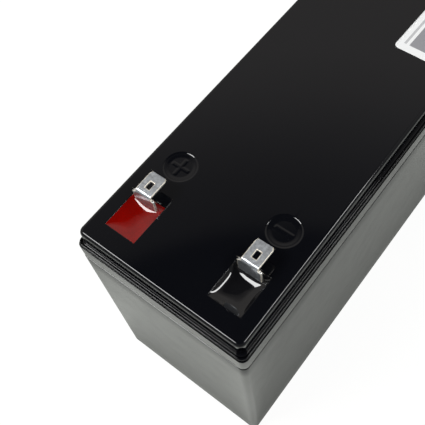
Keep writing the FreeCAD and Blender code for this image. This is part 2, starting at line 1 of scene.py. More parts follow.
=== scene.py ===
"""Looks of a sealed lithium iron phosphate battery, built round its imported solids."""
import json
import math

import bpy
import numpy as np
from bpy.props import FloatProperty, FloatVectorProperty, PointerProperty
from mathutils import Matrix, Vector


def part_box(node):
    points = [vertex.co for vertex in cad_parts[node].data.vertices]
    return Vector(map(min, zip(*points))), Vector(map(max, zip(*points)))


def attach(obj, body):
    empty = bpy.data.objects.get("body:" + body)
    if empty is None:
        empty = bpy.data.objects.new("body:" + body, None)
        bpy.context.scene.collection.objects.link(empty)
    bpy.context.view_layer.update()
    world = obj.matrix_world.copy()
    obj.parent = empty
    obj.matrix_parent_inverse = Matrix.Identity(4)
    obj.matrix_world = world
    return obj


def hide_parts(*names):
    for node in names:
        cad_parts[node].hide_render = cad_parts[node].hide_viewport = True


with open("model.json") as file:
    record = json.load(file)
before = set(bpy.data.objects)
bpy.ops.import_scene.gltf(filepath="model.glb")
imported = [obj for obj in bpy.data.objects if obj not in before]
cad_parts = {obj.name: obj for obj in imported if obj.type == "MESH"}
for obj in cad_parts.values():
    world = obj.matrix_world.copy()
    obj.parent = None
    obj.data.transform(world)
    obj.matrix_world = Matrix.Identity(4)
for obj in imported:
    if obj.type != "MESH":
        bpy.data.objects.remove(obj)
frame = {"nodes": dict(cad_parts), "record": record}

bl_info = {
    "name": "Sealed block battery",
    "version": (1, 0, 0),
    "blender": (4, 5, 0),
    "location": "View3D > Sidebar > Battery",
    "description": "Potting, tabs, label and finishes of a sealed block battery",
    "category": "Object",
}

MM = 0.001
BODY = "root"

LID_LOW, LID_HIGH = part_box("lid")
CASE_LOW, CASE_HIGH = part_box("case")
POCKETS = {"positive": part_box("potting_positive"), "negative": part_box("potting_negative")}
TABS = {"positive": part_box("terminal_positive"), "negative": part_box("terminal_negative")}
LABEL_LOW, LABEL_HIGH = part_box("label")
LID_TOP = LID_HIGH.z

# Camera, solved on the photo's edges: where it stands, its roll in degrees and its sensor in mm
CAMERA_AZIMUTH = 47.383
CAMERA_ELEVATION = 59.658
CAMERA_ROLL = -10.652
CAMERA_PLACE_MM = (73.553, -114.148, 267.25)
SENSOR_WIDTH = 36

# Side of the room where its bright wall is, in degrees
FAR_WALL_AZIMUTH = 227


def linear(code):
    """Linear RGB of an sRGB hex value: the power 2.4 curve with its straight foot."""
    values = [int(code[i:i + 2], 16) / 255 for i in (1, 3, 5)]
    return [v / 12.92 if v <= 0.04045 else ((v + 0.055) / 1.055) ** 2.4 for v in values]


def colour(name, code, description):
    """Colour property with an sRGB hex value as its default."""
    return FloatVectorProperty(name=name, description=description, subtype="COLOR", size=3,
                               min=0, max=1, default=linear(code))


def length(name, value, description):
    """Length property with its default in mm."""
    return FloatProperty(name=name, description=description, unit="LENGTH", default=value * MM)


def share(name, value, description):
    """Property between 0 and 1."""
    return FloatProperty(name=name, description=description, default=value, min=0, max=1)


def number(name, value, description):
    """Plain number property."""
    return FloatProperty(name=name, description=description, default=value)


# Settings


class BatteryShellSettings(bpy.types.PropertyGroup):
    resin: colour("Resin", "#090a0e", "Colour of the moulded black plastic")
    lid_roughness: share("Lid roughness", 0.05, "Roughness of the polished lid")
    case_roughness: share("Case roughness", 0.14, "Roughness of the case walls")
    sink_size: length("Sink size", 26.0, "Width of the shallow dips that moulding leaves in a face")
    sink_depth: length("Sink depth", 0.03, "Depth of those dips")


class BatteryLidSettings(bpy.types.PropertyGroup):
    wall_inset: length("Wall inset", 1.46, "Side of the case to the wall of the raised lid")
    edge_radius: length("Edge radius", 1.22, "Rounding between the top and the wall")
    corner_radius: length("Corner radius", 2.4, "Corners of the raised lid seen from above")
    joint_inset: length("Joint inset", 1.0, "Side of the case to the joint between lid and case")
    joint_radius: length("Joint rounding", 0.35, "Rounding of the lid's flange at the joint")
    rim_drop: length("Rim drop", 6.6, "Top of the lid to the rim of the case")
    inner_inset: length("Inner inset", 3.95, "Side of the case to the lid's inner wall")
    plate: length("Plate", 2.2, "Thickness of the top")
    pocket_depth: length("Pocket depth", 4.2, "Depth of the two terminal pockets")
    pocket_wall: length("Pocket wall", 1.5, "Plastic round and under a pocket")
    pocket_round: length("Pocket rounding", 0.16, "Rounding of a pocket's edge")
    slot_width: length("Slot width", 4.2, "Slot for a shank, across")
    mark_y: length("Mark place", -38.1, "Middle of the polarity marks along Y")
    mark_radius: length("Mark radius", 5.4, "Middle of the step round a dish")
    mark_step: length("Mark step", 0.21, "Height of that step")
    mark_edge: length("Mark edge", 0.5, "Width of that step")
    mark_slope: length("Mark slope", 1.6, "Width of the gentle slope inside the step")
    mark_fall: length("Mark fall", 0.14, "Height of that slope")
    bar_length: length("Bar length", 6.4, "Length of a raised bar")
    bar_width: length("Bar width", 1.1, "Width of a raised bar")
    bar_height: length("Bar height", 0.09, "Height of a raised bar over its dish")


class BatteryCaseSettings(bpy.types.PropertyGroup):
    corner_radius: length("Corner radius", 2.2, "Upright corners of the case")
    wall: length("Wall", 2.4, "Thickness of the walls")
    base_inset: length("Base inset", 0.9, "How far the walls lean in from the collar to the base")
    base_radius: length("Base rounding", 0.8, "Rounding of the bottom edge")
    floor: length("Floor", 2.4, "Thickness of the floor")
    collar_z: length("Collar foot", 79.2, "Height of the fine step under the collar")
    collar_tuck: length("Collar tuck", 0.12, "How far the collar's foot is set back from the wall below")
    rim_radius: length("Rim rounding", 0.34, "Rounding of the rim's outer edge")
    gap_inset: length("Gap inset", 0.62, "Side of the case to the outer side of the gap round the lid")
    gap_depth: length("Gap depth", 0.9, "Depth of that gap")
    bead_inset: length("Bead inset", 0.26, "How far the rim's top bead is set back from the wall")
    bead_drop: length("Bead height", 1.2, "Height of that bead")
    shelf_drop: length("Shelf drop", 6.0, "Rim to the shelf that the lid stands on")


class BatteryPottingSettings(bpy.types.PropertyGroup):
    red: colour("Red resin", "#780400", "Colour of the resin round the positive tab")
    black: colour("Black resin", "#0c0c0e", "Colour of the resin round the negative tab")
    edge_drop: length("Edge drop", 0.1, "Resin at the pocket wall below the top of the lid")
    red_dip: length("Red dip", 1.5, "Middle of the red surface below its edges")
    black_dip: length("Black dip", 2.0, "Middle of the black surface below its edges")
    red_wetting: length("Red side wetting", 2.6, "Distance over which the red surface curves up at a side")
    black_wetting: length("Black side wetting", 1.5, "Distance over which the black one does")
    tab_share: share("Rise at the tab", 0.62, "How much of the dip is gone at the tab")
    wetting: length("End wetting", 1.9, "Distance over which it curves up at the near and the far wall")
    slope_run: length("Slope run", 3.8, "Distance over which the surface slopes up to the tab")
    climb: length("Climb", 0.05, "How far the resin is drawn up at the tab")
    creep: length("Creep", 0.5, "How far the resin has run over the near edge of the pocket")


class BatteryTabSettings(bpy.types.PropertyGroup):
    plating: colour("Plating", "#e2e7ec", "Colour of the tin plating")
    # The edge colour is a painted highlight: pale and barely metallic on the rounded edges, so that they read
    # as bright outlines
    edge: colour("Edge", "#efe8d8", "Pale colour painted on the edges as a highlight")
    thickness: length("Thickness", 0.8, "Thickness of the strip")
    blade_width: length("Blade width", 6.1, "Width of the level blade")
    shoulder_width: length("Shoulder width", 8.4, "Width of the foot under the bend")
    shank_width: length("Shank width", 4.0, "Width of the part under the lid")
    bend_radius: length("Bend radius", 0.5, "Inner radius of the bend")
    corner_radius: length("Corner radius", 1.3, "Corners of the blade's tip")
    hole_width: length("Hole width", 1.7, "Width of the slot in the blade")
    hole_length: length("Hole length", 2.6, "Length of the slot in the blade")
    hole_centre: length("Hole centre", 3.75, "Front face of the foot to the middle of the slot")
    edge_round: length("Edge rounding", 0.22, "Rounding that stamping and plating leave on the edges")


class BatteryLabelSettings(bpy.types.PropertyGroup):
    paper: colour("Paper", "#e6e7e7", "Colour of the label's paper")
    ink: colour("Ink", "#8c8c90", "Colour of the plain field on the label")
    width: length("Width", 16.0, "Size of the label along X before it is turned")
    height: length("Height", 27.6, "Size of the label along Y before it is turned")
    corner: length("Corner radius", 1.7, "Corners of the label")
    turn: FloatProperty(name="Turn", description="Turn of the label about its corner", subtype="ANGLE",
                        default=math.radians(-1.5))


class BatteryInsideSettings(bpy.types.PropertyGroup):
    sleeve: colour("Cell sleeve", "#5b8fbd", "Colour of the shrunk sleeve on each cell")
    mask: colour("Board", "#12613a", "Colour of the board's solder mask")
    foam: colour("Foam", "#4a4a4c", "Colour of the foam pads")


class BatteryStageSettings(bpy.types.PropertyGroup):
    focal_length: number("Focal length", 57.17, "Camera lens in mm")
    key_radiance: number("Key light", 12.0, "Brightness of the two soft boxes")
    box_width: length("Box width", 400.0, "Width of the left soft box")
    box_height: length("Box height", 160.0, "Height of the left soft box")
    fill_radiance: number("Fill light", 1.5, "Brightness of the large fill")
    fill_box: length("Fill box", 700.0, "Side of the fill")
    side_radiance: number("Side light", 1.2, "Brightness of the fill on the right")
    floor: colour("Floor", "#edf0ea", "Colour of the floor")


# Nodes and materials

WHITE = (1, 1, 1)


def node(tree, kind, inputs=None, **settings):
    """Adds one node with its settings; each input takes a link from a socket, or a constant value."""
    made = tree.nodes.new(kind)
    for key, value in settings.items():
        setattr(made, key, value)
    for key, value in (inputs or {}).items():
        target = made.inputs[key]
        if isinstance(value, bpy.types.NodeSocket):
            tree.links.new(value, target)
        else:
            target.default_value = (*value, 1) if target.type == "RGBA" else value
    return made


def empty_tree(owner):
    """Node tree of a material or a world, emptied."""
    owner.use_nodes = True
    owner.node_tree.nodes.clear()
    return owner.node_tree


def material(name, **shader):
    """Node material with one surface shader, which is returned with its tree."""
    made = bpy.data.materials.new(name)
    tree = empty_tree(made)
    surface = node(tree, "ShaderNodeBsdfPrincipled", shader)
    node(tree, "ShaderNodeOutputMaterial", {"Surface": surface.outputs["BSDF"]})
    return made, tree, surface


def feed(tree, shader, key, socket):
    """Lets a socket drive one of the shader's inputs."""
    tree.links.new(socket, shader.inputs[key])


def noise(tree, size_mm, detail, scale=(1, 1, 1)):
    """Noise whose spots are about size_mm wide, stretched by scale."""
    place = node(tree, "ShaderNodeTexCoord").outputs["Object"]
    mapping = node(tree, "ShaderNodeMapping", {"Vector": place, "Scale": scale})
    made = node(tree, "ShaderNodeTexNoise", {"Vector": mapping.outputs["Vector"], "Detail": detail,
                                             "Scale": 0.5 / (size_mm * MM)})
    return made.outputs["Fac"]


def ranged(tree, socket, low, high, start=0.3, end=0.7):
    """The socket's values from start to end, stretched to low and high."""
    made = node(tree, "ShaderNodeMapRange", {"Value": socket, "From Min": start, "From Max": end,
                                             "To Min": low, "To Max": high})
    return made.outputs["Result"]


def mixed(tree, factor, first, second, blend="MIX"):
    """Colour between two colours or sockets by a factor."""
    made = node(tree, "ShaderNodeMix", {"Factor": factor, "A": first, "B": second}, data_type="RGBA",
                blend_type=blend)
    return made.outputs["Result"]


def worked(tree, operation, first, second):
    """Result of one operation on two numbers or sockets."""
    return node(tree, "ShaderNodeMath", {0: first, 1: second}, operation=operation).outputs["Value"]


def bumped(tree, surface, height, depth_mm):
    """Turns the surface's normals as if height were depth_mm deep."""
    made = node(tree, "ShaderNodeBump", {"Strength": 1.0, "Distance": depth_mm * MM, "Height": height})
    feed(tree, surface, "Normal", made.outputs["Normal"])


def shades(values, factor):
    """A colour times a factor, up to white."""
    return [min(1.0, v * factor) for v in values]


def moulded_abs(name, resin, roughness, sink_mm, depth_mm):
    """Black ABS, injection moulded in a polished mould: near black, mirror like, with shallow sinks."""
    made, tree, surface = material(name, **{"Roughness": roughness, "IOR": 1.54})
    tone = ranged(tree, noise(tree, 40.0, 3.0), 0.0, 1.0)
    feed(tree, surface, "Base Color", mixed(tree, tone, shades(resin, 0.9), shades(resin, 1.1)))
    haze = ranged(tree, noise(tree, 3.0, 4.0), roughness * 0.85, roughness * 1.3)
    feed(tree, surface, "Roughness", haze)
    bumped(tree, surface, noise(tree, sink_mm, 1.0), depth_mm)
    return made


def tinned_brass(name, plating, bend_y):
    """Brass strip, rolled, stamped and tin plated.

    The blade is blue grey, brushed along the strip and mottled; the foot and the bend, in front of bend_y,
    are burnished by the bending tool. The brush lines are drawn 0.12 mm wide, about ten times as coarse as
    real ones, so that they show.
    """
    made, tree, surface = material(name, **{"Metallic": 0.9})
    tone = ranged(tree, noise(tree, 0.5, 3.0), 0.0, 1.0)
    feed(tree, surface, "Base Color", mixed(tree, tone, shades(plating, 0.68), shades(plating, 1.12)))
    place = node(tree, "ShaderNodeTexCoord").outputs["Object"]
    along = node(tree, "ShaderNodeSeparateXYZ", {"Vector": place}).outputs["Y"]
    matt = ranged(tree, along, 0.34, 0.42, bend_y - 0.2 * MM, bend_y + 0.3 * MM)
    brush = noise(tree, 0.12, 3.0, scale=(1.0, 0.08, 0.08))
    feed(tree, surface, "Roughness", worked(tree, "ADD", matt, ranged(tree, brush, -0.02, 0.03)))
    bumped(tree, surface, brush, 0.001)
    return made


def cast_resin(name, base, cloud):
    """Two part epoxy, poured and cured in place: a wet gloss over a slightly cloudy colour."""
    made, tree, surface = material(name, **{"Roughness": 0.05, "IOR": 1.52, "Coat Weight": 0.5,
                                            "Coat Roughness": 0.03})
    tone = ranged(tree, noise(tree, 2.2, 3.0), 0.0, 1.0)
    feed(tree, surface, "Base Color", mixed(tree, tone, base, cloud))
    bumped(tree, surface, noise(tree, 1.6, 1.0), 0.02)
    return made


def coated_paper(name, paper, ink):
    """Coated label paper, thermal printed: white with a plain grey field and line.

    Both are spans of the UV map, in mm from the label's corner: across, then along.
    """
    field_mm = ((4.2, 13.6), (3.0, 25.0))
    line_mm = ((2.2, 3.1), (3.0, 20.0))
    line_tone = 0.6
    made, tree, surface = material(name, **{"Roughness": 0.45, "IOR": 1.5})
    place = node(tree, "ShaderNodeUVMap", uv_map="label_mm").outputs["UV"]
    split = node(tree, "ShaderNodeSeparateXYZ", {"Vector": place})

    def within(axis, low, high):
        return worked(tree, "MULTIPLY", worked(tree, "GREATER_THAN", split.outputs[axis], low),
                      worked(tree, "LESS_THAN", split.outputs[axis], high))

    field, line = (worked(tree, "MULTIPLY", within("X", *across), within("Y", *along))
                   for across, along in (field_mm, line_mm))
    printed = worked(tree, "MAXIMUM", field, worked(tree, "MULTIPLY", line, line_tone))
    feed(tree, surface, "Base Color", mixed(tree, printed, paper, ink))
    bumped(tree, surface, noise(tree, 0.2, 3.0), 0.004)
    return made


def plain_finish(name, base, roughness, spot_mm, depth_mm, metallic=0.0):
    """Finish of a hidden piece, or of the tabs' rounded edges, where its pale colour is a painted highlight:
    its tone and gloss vary by spots, with bumps as deep as given.
    """
    made, tree, surface = material(name, **{"Roughness": roughness, "Metallic": metallic})
    spots = noise(tree, spot_mm, 3.0)
    tone = ranged(tree, spots, 0.0, 1.0)
    feed(tree, surface, "Base Color", mixed(tree, tone, shades(base, 0.85), shades(base, 1.12)))
    feed(tree, surface, "Roughness", ranged(tree, spots, roughness * 0.9, min(1.0, roughness * 1.15)))
    bumped(tree, surface, spots, depth_mm)
    return made


def give(obj, finish):
    """Makes the finish the object's only material."""
    obj.data.materials.clear()
    obj.data.materials.append(finish)


# Surfaces

LAP = 0.06 * MM             # flat strip between a plate and the rounding beside it
MARK_GRID = 0.14 * MM       # spacing of the lid's grid in the marks
BAR_SOFTNESS = 0.7 * MM     # width of the slope beside a raised bar
CORNER_STEPS = 12           # rows round each upright corner of the lid
WIDTH_STEP = 0.25 * MM      # run over which a tab's width jumps, with room for the edge's rounding
SHOULDER_ROUND = 0.5 * MM   # rounding of a tab's shoulders
LABEL_SHEET = 0.08 * MM     # thickness of the label
LABEL_LIFT = 0.05 * MM      # lift of its free corners


def compact_mesh(name, points, faces, sharp=None):
    """Mesh from points and quads, without the points that no quad uses."""
    used, renumbered = np.unique(faces, return_inverse=True)
    mesh = bpy.data.meshes.new(name)
    mesh.from_pydata(points[used].tolist(), [], renumbered.reshape(faces.shape).tolist())
    mesh.polygons.foreach_set("use_smooth", np.ones(len(mesh.polygons), bool))
    mesh.update()
    if sharp is not None:
        mesh.set_sharp_from_angle(angle=math.radians(sharp))
    made = bpy.data.objects.new(name, mesh)
    bpy.context.scene.collection.objects.link(made)
    return made


def border(index):
    """Indices round the edge of a grid, anticlockwise seen from its top side."""
    return np.concatenate([index[:-1, 0], index[-1, :-1], index[:0:-1, -1], index[0, :0:-1]])


def closed_field(name, top, bottom, keep, rings=(), sharp=None):
    """Closed solid between two grids of points over the same cells.

    A kept cell (i, j) gives one quad on the top grid and one, turned over, on the bottom grid. Wherever a
    kept cell meets one that isn't, a wall quad joins the two grids. Round the outer edge the wall passes
    through the rings, loops of points in the order of the border, from the top grid to the bottom grid.
    """
    rows, columns = top.shape[:2]
    index = np.arange(rows * columns).reshape(rows, columns)
    under = rows * columns
    a, b, c, d = index[:-1, :-1], index[1:, :-1], index[1:, 1:], index[:-1, 1:]
    quads = [np.stack([a, b, c, d], -1)[keep], np.stack([a, d, c, b], -1)[keep] + under]
    for first, last, here, beyond in ((index[1:-1, :-1], index[1:-1, 1:], keep[:-1], keep[1:]),
                                      (index[1:, 1:-1], index[:-1, 1:-1], keep[:, :-1], keep[:, 1:])):
        quads.append(np.stack([last, first, first + under, last + under], -1)[here & ~beyond])
        quads.append(np.stack([first, last, last + under, first + under], -1)[~here & beyond])
    edge = border(index)
    middle = 2 * under + np.arange(len(rings) * len(edge)).reshape(len(rings), len(edge))
    loops = np.concatenate([edge[None], middle, edge[None] + under])
    following = np.roll(loops, -1, axis=1)
    quads.append(np.stack([loops[:-1], loops[1:], following[1:], following[:-1]], -1).reshape(-1, 4))
    points = np.concatenate([top.reshape(-1, 3), bottom.reshape(-1, 3), np.reshape(rings, (-1, 3))])
    return compact_mesh(name, points, np.concatenate(quads), sharp)


def plate_grid(columns, rows, half_x, half_y, radius, steps, z=0.0):
    """Flat grid over a rectangle with round corners.

    Rows at the two ends stand at equal angles round the corners, and each is narrowed to the width that
    the corner's circle leaves there. Columns and the straight rows are given.
    """
    angle = np.linspace(np.pi / 2, 0, steps)
    ends = half_y - radius + radius * np.sin(angle)
    y = np.concatenate([-ends, rows, ends[::-1]])
    width = np.concatenate([half_x - radius + radius * np.cos(angle), np.full(len(rows), half_x),
                            half_x - radius + radius * np.cos(angle[::-1])])
    gx = columns[:, None] * (width / half_x)[None, :]
    gy = np.broadcast_to(y, gx.shape)
    return np.stack([gx, gy, np.full_like(gx, z)], -1)


def ring_loops(grid, half_x, half_y, radius, profile):
    """Loops round a plate grid: each point of its border is carried out along its normal.

    A profile row (inset, corner radius, height) gives one loop: the border's point is drawn back to the
    centre of its corner, that centre is moved to the new outline, and the new radius is laid off again.
    """
    edge = border(np.arange(grid.shape[0] * grid.shape[1]).reshape(grid.shape[:2]))
    points = grid.reshape(-1, 3)[edge][:, :2]
    core = np.array([half_x - radius, half_y - radius])
    centres = np.clip(points, -core, core)
    normals = (points - centres) / radius
    inset, corner, z = np.array(profile).T[:, :, None]
    shell = np.array([CASE_HIGH.x, CASE_HIGH.y])
    scale = (shell - inset - corner) / core
    flat = centres[None] * scale[:, None, :] + normals[None] * corner[:, :, None]
    return np.concatenate([flat, np.broadcast_to(z[:, :, None], flat.shape[:2] + (1,))], -1)


def lines(*spans):
    """Sorted grid lines in metres from spans of (start, end, step) in metres and from single places."""
    parts = [np.linspace(*span[:2], max(2, round(abs(span[1] - span[0]) / span[2]) + 1))
             if isinstance(span, tuple) else np.atleast_1d(span) for span in spans]
    return np.unique(np.round(np.concatenate(parts), 7))


def middles(values):
    """Middle of each value and the next."""
    return (values[:-1] + values[1:]) / 2


def smooth_step(values):
    """Three times the square less twice the cube, between 0 and 1."""
    t = np.clip(values, 0, 1)
    return t * t * (3 - 2 * t)


def outer_arc(inset, corner, z, radius, steps):
    """Section rows of a quarter circle from a flat top at height z down to a wall at the inset."""
    return [(inset + radius * (1 - math.cos(a)), corner, z - radius * (1 - math.sin(a)))
            for a in np.linspace(math.pi / 2, 0, steps)]


def build_lid_piece(name, s):
    """Lid: a plate with two pockets and two marks, carried round its edge by a stepped section.

    Its height is the top less each pocket's drop, a quarter circle and then a wall by the distance inside
    the pocket, less each dish, two smooth steps by the distance from the mark's middle, plus the bars,
    a product of smooth steps across and along each bar.
    """
    half_x, half_y = CASE_HIGH.x, CASE_HIGH.y
    inset, radius = s.wall_inset + s.edge_radius + LAP, s.corner_radius - s.edge_radius - LAP
    plate_x, plate_y = half_x - inset, half_y - inset
    rim_z = LID_TOP - s.rim_drop
    pocket_low, pocket_high = POCKETS["negative"]
    centre_x = (pocket_low.x + pocket_high.x) / 2
    centre_y = (pocket_low.y + pocket_high.y) / 2
    reach_x, reach_y = (pocket_high.x - pocket_low.x) / 2, (pocket_high.y - pocket_low.y) / 2
    tab_front, slack = TABS["negative"][0].y, 0.1 * MM
    slot_y = np.array([tab_front - slack, tab_front + settings_of("tab").thickness + slack])
    edge = np.array([-0.4, -0.2, -0.16, -0.11, -0.06, -0.02, 0.0, 0.05]) * MM
    under = np.array([-s.pocket_wall - 0.02 * MM, -s.pocket_wall])
    into = np.concatenate([edge, under])
    mark = s.mark_radius + s.mark_edge / 2 + 0.1 * MM
    mark_low, mark_high = s.mark_y - mark, s.mark_y + mark
    right = lines((0.0, centre_x - mark, 2.2 * MM), (centre_x - mark, centre_x + mark, MARK_GRID),
                  centre_x - reach_x + into, centre_x + reach_x - into,
                  centre_x + np.array([-0.5, 0.5]) * s.slot_width,
                  plate_x - 1.5 * MM, plate_x - 0.3 * MM, plate_x)
    columns = np.concatenate([-right[:0:-1], right])
    straight = plate_y - radius
    rows = lines(-straight + 0.3 * MM, centre_y - reach_y + into, centre_y + reach_y - into, slot_y,
                 (centre_y - reach_y + 1.0 * MM, centre_y + reach_y - 1.0 * MM, 2.0 * MM),
                 (mark_low, mark_high, MARK_GRID), (mark_high, straight - 0.3 * MM, 4.0 * MM))
    top = plate_grid(columns, rows, plate_x, plate_y, radius, CORNER_STEPS, LID_TOP)
    gx, gy = top[..., 0], top[..., 1]
    side_x = np.abs(gx) - centre_x
    inside = np.minimum(reach_x - np.abs(side_x), reach_y - np.abs(gy - centre_y))
    bent = np.clip(1 + inside / s.pocket_round, 0, 1)
    fall = s.pocket_round * (1 - np.sqrt(1 - bent ** 2))
    fall += (s.pocket_depth - s.pocket_round) * np.clip(inside / (0.05 * MM), 0, 1)
    away = np.hypot(side_x, gy - s.mark_y)
    dish = s.mark_step * (1 - smooth_step((away - s.mark_radius) / s.mark_edge + 0.5))
    dish += s.mark_fall * (1 - smooth_step((away - s.mark_radius + s.mark_edge / 2) / s.mark_slope + 1))

    def bar(across, along):
        return (smooth_step((s.bar_width / 2 - np.abs(across)) / BAR_SOFTNESS + 0.5)
                * smooth_step((s.bar_length / 2 - np.abs(along)) / BAR_SOFTNESS + 0.5))

    minus = bar(gy - s.mark_y, side_x)
    sign = np.where(gx < 0, np.maximum(minus, bar(side_x, gy - s.mark_y)), minus)
    top[..., 2] = LID_TOP - fall - dish + s.bar_height * sign
    inner_x, inner_y = half_x - s.inner_inset, half_y - s.inner_inset
    keep_x, keep_y = inner_x - 1.5 * MM, inner_y - 1.5 * MM
    low_columns = remapped(columns, keep_x, plate_x, inner_x)
    low_rows = remapped(rows, keep_y, straight, inner_y - radius)
    bottom = plate_grid(low_columns, low_rows, inner_x, inner_y, radius, CORNER_STEPS)
    below = np.minimum(reach_x - np.abs(np.abs(bottom[..., 0]) - centre_x),
                       reach_y - np.abs(bottom[..., 1] - centre_y))
    bottom[..., 2] = np.where(below > -s.pocket_wall - 0.01 * MM,
                              LID_TOP - s.pocket_depth - s.pocket_wall, LID_TOP - s.plate)
    in_x, in_y = np.abs(middles(columns)) - centre_x, middles(top[0, :, 1])
    slot = np.logical_and.outer(np.abs(in_x) < s.slot_width / 2, (in_y > slot_y[0]) & (in_y < slot_y[1]))
    foot, corner = s.wall_inset + 0.1 * MM, s.corner_radius
    ledge = s.joint_inset + s.joint_radius
    shelf_z = LID_LOW.z
    profile = [(inset - LAP - s.edge_radius * math.cos(a), radius + LAP + s.edge_radius * math.cos(a),
                LID_TOP - s.edge_radius * (1 - math.sin(a))) for a in np.linspace(math.pi / 2, 0, 14)]
    wall_z, foot_z = LID_TOP - s.edge_radius, rim_z + 0.14 * MM
    profile += [(s.wall_inset + (foot - s.wall_inset) * t, corner, wall_z + (foot_z - wall_z) * t)
                for t in (0.02, 0.96, 1.0)]
    profile += [(foot - 0.03 * MM, corner, rim_z + 0.05 * MM), (foot - 0.1 * MM, corner, rim_z),
                (ledge + 0.04 * MM, corner - 0.2 * MM, rim_z), (ledge, corner - 0.2 * MM, rim_z)]
    profile += [(ledge - s.joint_radius * math.sin(a), corner - 0.2 * MM,
                 rim_z - s.joint_radius * (1 - math.cos(a))) for a in np.linspace(0, math.pi / 2, 6)[1:]]
    profile += [(s.joint_inset, corner - 0.2 * MM, shelf_z), (s.inner_inset, radius, shelf_z)]
    rings = ring_loops(top, plate_x, plate_y, radius, profile)
    return closed_field(name, top, bottom, ~slot, rings, 35)


def remapped(values, keep, old, new):
    """Values beyond keep drawn in, so that what lay at old comes to new."""
    size = np.abs(values)
    drawn = keep + (size - keep) * (new - keep) / (old - keep)
    return np.sign(values) * np.where(size > keep, drawn, size)


def build_case_piece(name, s):
    """Case: floor and underside as two plates, joined by one section carried round the case.

    The section goes up the inner wall, over the shelf, up the gap round the lid, over the bead of the rim,
    through the groove outside it, down the collar, whose foot is set back by the square of the way down, to
    the fine step, and down the leaning wall to the rounded base.
    """
    half_x, half_y = CASE_HIGH.x, CASE_HIGH.y
    lid = settings_of("lid")
    radius = 1.0 * MM
    draft = 0.25 * MM
    low_inset, high_inset = s.base_inset + s.wall, s.wall + draft
    plate_x, plate_y = half_x - low_inset, half_y - low_inset
    straight = plate_y - radius
    columns = lines((-plate_x, plate_x, 12.0 * MM), -plate_x + 0.5 * MM, plate_x - 0.5 * MM)
    rows = lines((-straight + 0.5 * MM, straight - 0.5 * MM, 12.0 * MM))
    top = plate_grid(columns, rows, plate_x, plate_y, radius, 7, s.floor)
    under_inset = s.base_inset + s.base_radius
    under_x, under_y = half_x - under_inset, half_y - under_inset
    under_radius = s.corner_radius - s.base_radius
    bottom = plate_grid(remapped(columns, plate_x / 2, plate_x, under_x),
                        remapped(rows, plate_y / 2, straight, under_y - under_radius),
                        under_x, under_y, under_radius, 7)
    rim_z = LID_TOP - lid.rim_drop
    shelf_z = rim_z - s.shelf_drop
    clearance = 0.04 * MM
    joint, corner = lid.joint_inset - clearance, s.corner_radius
    inner = lid.corner_radius - 0.2 * MM
    profile = [(high_inset, radius, shelf_z - 0.5 * MM), (high_inset, radius, shelf_z),
               (joint, inner, shelf_z), (joint, inner, rim_z - s.gap_depth),
               (s.gap_inset, inner, rim_z - s.gap_depth), (s.gap_inset, inner, rim_z - 0.06 * MM),
               (s.gap_inset - 0.02 * MM, inner, rim_z - 0.02 * MM), (s.gap_inset - 0.06 * MM, inner, rim_z)]
    tight, bead = s.rim_radius, s.bead_inset
    step_z, small = rim_z - s.bead_drop, 0.06 * MM
    profile += outer_arc(bead, corner, rim_z, tight, 8)
    groove_z = step_z - 0.35 * MM
    profile += [(bead, corner, rim_z - tight - 0.05 * MM), (bead, corner, groove_z),
                (small, corner, groove_z), (small, corner, step_z - 0.03 * MM)]
    profile += outer_arc(0.0, corner, step_z, small, 6)
    swing_z = step_z - small - 0.05 * MM
    fall = swing_z - s.collar_z
    profile += [(s.collar_tuck * t ** 2, corner, swing_z - fall * t) for t in np.linspace(0, 1, 7)]
    groove, wall_z = s.collar_tuck + 0.08 * MM, s.collar_z - 0.4 * MM
    profile += [(groove, corner, s.collar_z - 0.03 * MM), (groove, corner, s.collar_z - 0.18 * MM),
                (0.03 * MM, corner, s.collar_z - 0.24 * MM), (0.0, corner, wall_z)]
    profile += [(s.base_inset * t, corner, wall_z - (wall_z - s.base_radius) * t)
                for t in np.linspace(0, 1, 12)[1:]]
    profile += [(s.base_inset + s.base_radius * (1 - math.cos(a)), corner - s.base_radius * (1 - math.cos(a)),
                 s.base_radius * (1 - math.sin(a))) for a in np.linspace(0, math.pi / 2, 6)[1:-1]]
    rings = ring_loops(top, plate_x, plate_y, radius, profile)
    keep = np.ones((top.shape[0] - 1, top.shape[1] - 1), bool)
    return closed_field(name, top, bottom, keep, rings, 35)


def eased(count, low, high):
    """Values from low to high that lie closer together at both ends, by a cosine."""
    return low + (high - low) * (1 - np.cos(np.linspace(0, np.pi, count))) / 2


def rounded(obj, width):
    """Rounds the sharp edges of a piece.

    The clamp is off, because it would hold every edge to what the shortest one, at a shoulder, has room for.
    """
    bevel = obj.modifiers.new("edge rounding", "BEVEL")
    bevel.width = width
    bevel.segments = 3
    bevel.limit_method = "ANGLE"
    bevel.angle_limit = math.radians(40)
    bevel.harden_normals = True
    bevel.use_clamp_overlap = False
    return obj


def fitted(obj, slot, *nodes):
    """Lets a finished piece ride on the battery's body in place of the named nodes."""
    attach(obj, BODY)
    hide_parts(*nodes)


